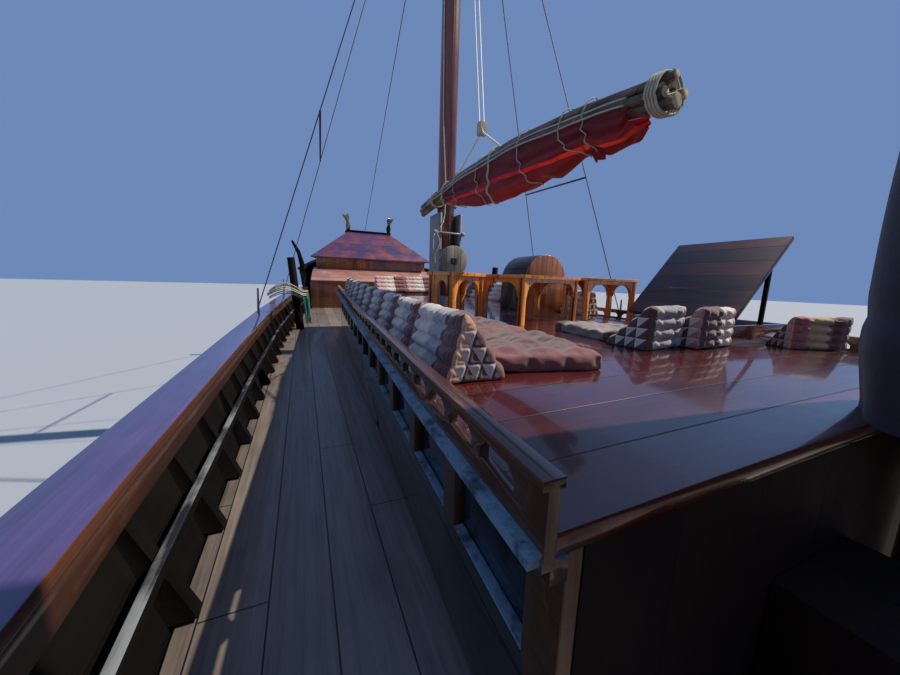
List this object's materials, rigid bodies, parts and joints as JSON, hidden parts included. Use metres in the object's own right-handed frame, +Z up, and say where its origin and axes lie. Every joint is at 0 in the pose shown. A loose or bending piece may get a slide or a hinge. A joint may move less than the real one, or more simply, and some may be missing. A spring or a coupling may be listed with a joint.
{
  "type": "two-masted wooden junk sailing boat",
  "caption": "Two-masted wooden junk sailing boat with a low cabin, sun deck, furled main sail on its spars, high bow and stern, steering wheel, rudder and propeller",
  "frame": {"origin": "on the centreline at the waterline amidships", "axes": "+X to the bow, +Y to port, +Z up"},
  "size_m": [24.1, 6.95, 15.05],
  "materials": {
    "hull_paint": "dark brown paint on planks",
    "black_wood": "black stained planks, satin",
    "deck_planks": "weathered caulked planks",
    "varnished_wood": "dark red gloss varnish",
    "rail_wood": "dark brown satin varnish",
    "post_wood": "light brown satin varnish",
    "window_glass": "clear, slightly dark",
    "orange_wood": "orange varnish",
    "mast_wood": "red-brown varnish",
    "grey_paint": "blue-grey paint, worn",
    "weathered_wood": "bare grey wood",
    "bamboo": "dry matt bamboo",
    "sail_cloth": "red woven cloth",
    "canvas": "dark blue-black canvas",
    "cushion_cloth": "woven cotton with triangle patterns",
    "stay_wire": "stranded wire, dull",
    "bronze": "satin bronze",
    "cream_rope": "laid rope, matt",
    "teal_rope": "laid rope, matt"
  },
  "bodies": {
    "boat": {"bitt_port": "black_wood", "bitt_stbd": "black_wood", "bow_bulwark": "black_wood", "bulwark_port": "black_wood", "bulwark_stbd": "black_wood", "cabin_aft_wall": "rail_wood", "cabin_fore_wall": "post_wood", "cabin_roof": "varnished_wood", "cabin_side_port": "post_wood", "cabin_side_stbd": "post_wood", "cap_rail_port": "varnished_wood", "cap_rail_stbd": "varnished_wood", "cushion_stbd": "cushion_cloth", "cushions_fore": "cushion_cloth", "cushions_mid": "cushion_cloth", "cushions_port": "cushion_cloth", "fore_bulkhead": "orange_wood", "fore_deck": "varnished_wood", "fore_house": "orange_wood", "fore_ridge": "black_wood", "fore_roof": "varnished_wood", "forestay": "stay_wire", "hatch_coaming": "varnished_wood", "helm_pedestal": "varnished_wood", "hull": "hull_paint", "keel": "hull_paint", "main_deck": "deck_planks", "main_mast": "mast_wood", "mizzen_cover": "canvas", "mizzen_mast": "mast_wood", "poop_block": "rail_wood", "poop_bulwark": "varnished_wood", "poop_deck": "deck_planks", "poop_steps": "rail_wood", "roof_hood": "rail_wood", "roof_rail_port": "rail_wood", "roof_rail_stbd": "rail_wood", "rope_coil": "cream_rope", "rope_hank": "teal_rope", "shroud_mizzen_port": "stay_wire", "shroud_mizzen_stbd": "stay_wire", "shrouds_main_port": "stay_wire", "shrouds_main_stbd": "stay_wire", "step_box": "varnished_wood", "tabernacle": "grey_paint", "table_far": "orange_wood", "table_near": "orange_wood", "table_port": "orange_wood", "window_panes_port": "window_glass", "window_panes_stbd": "window_glass"},
    "rudder": {"rudder": "hull_paint"},
    "propeller": {"propeller": "bronze"},
    "helm_wheel": {"helm_wheel": "varnished_wood"},
    "sail_bundle": {"main_spars": "bamboo", "main_sail": "sail_cloth", "main_halyard": "cream_rope"},
    "halyard_reel": {"halyard_reel": "weathered_wood"},
    "hatch_lid": {"hatch_lid": "varnished_wood", "lid_stay": "rail_wood"},
    "cabin_door": {"cabin_door": "varnished_wood"}
  },
  "joints": [
    {"name": "rudder_swing", "type": "hinge", "parent": "boat", "child": "rudder", "pos_m": [-11.14, 0, 0.5], "axis": [0, 0, 1], "range_deg": [-35, 35]},
    {"name": "propeller_spin", "type": "hinge", "parent": "boat", "child": "propeller", "pos_m": [-9.55, 0, -0.95], "axis": [1, 0, 0], "continuous": true},
    {"name": "helm_spin", "type": "hinge", "parent": "boat", "child": "helm_wheel", "pos_m": [-8.57, 0, 3.1], "axis": [1, 0, 0], "range_deg": [-540, 540]},
    {"name": "sail_bundle_swing", "type": "hinge", "parent": "boat", "child": "sail_bundle", "pos_m": [0.87, 0, 4.31], "axis": [0, 0, 1], "range_deg": [-45, 45]},
    {"name": "halyard_reel_spin", "type": "hinge", "parent": "boat", "child": "halyard_reel", "pos_m": [0.556, 0, 3.08], "axis": [1, 0, 0], "continuous": true},
    {"name": "hatch_lid_hinge", "type": "hinge", "parent": "boat", "child": "hatch_lid", "pos_m": [-3.165, -0.975, 2.39], "axis": [-1, 0, 0], "range_deg": [-46.5, 43.5]},
    {"name": "cabin_door_hinge", "type": "hinge", "parent": "boat", "child": "cabin_door", "pos_m": [-5.02, -1.242, 1.6], "axis": [0, 0, 1], "range_deg": [0, 100]}
  ],
  "couplings": [
    {"joint": "helm_spin", "follows": "rudder_swing", "ratio": 15.4}
  ]
}
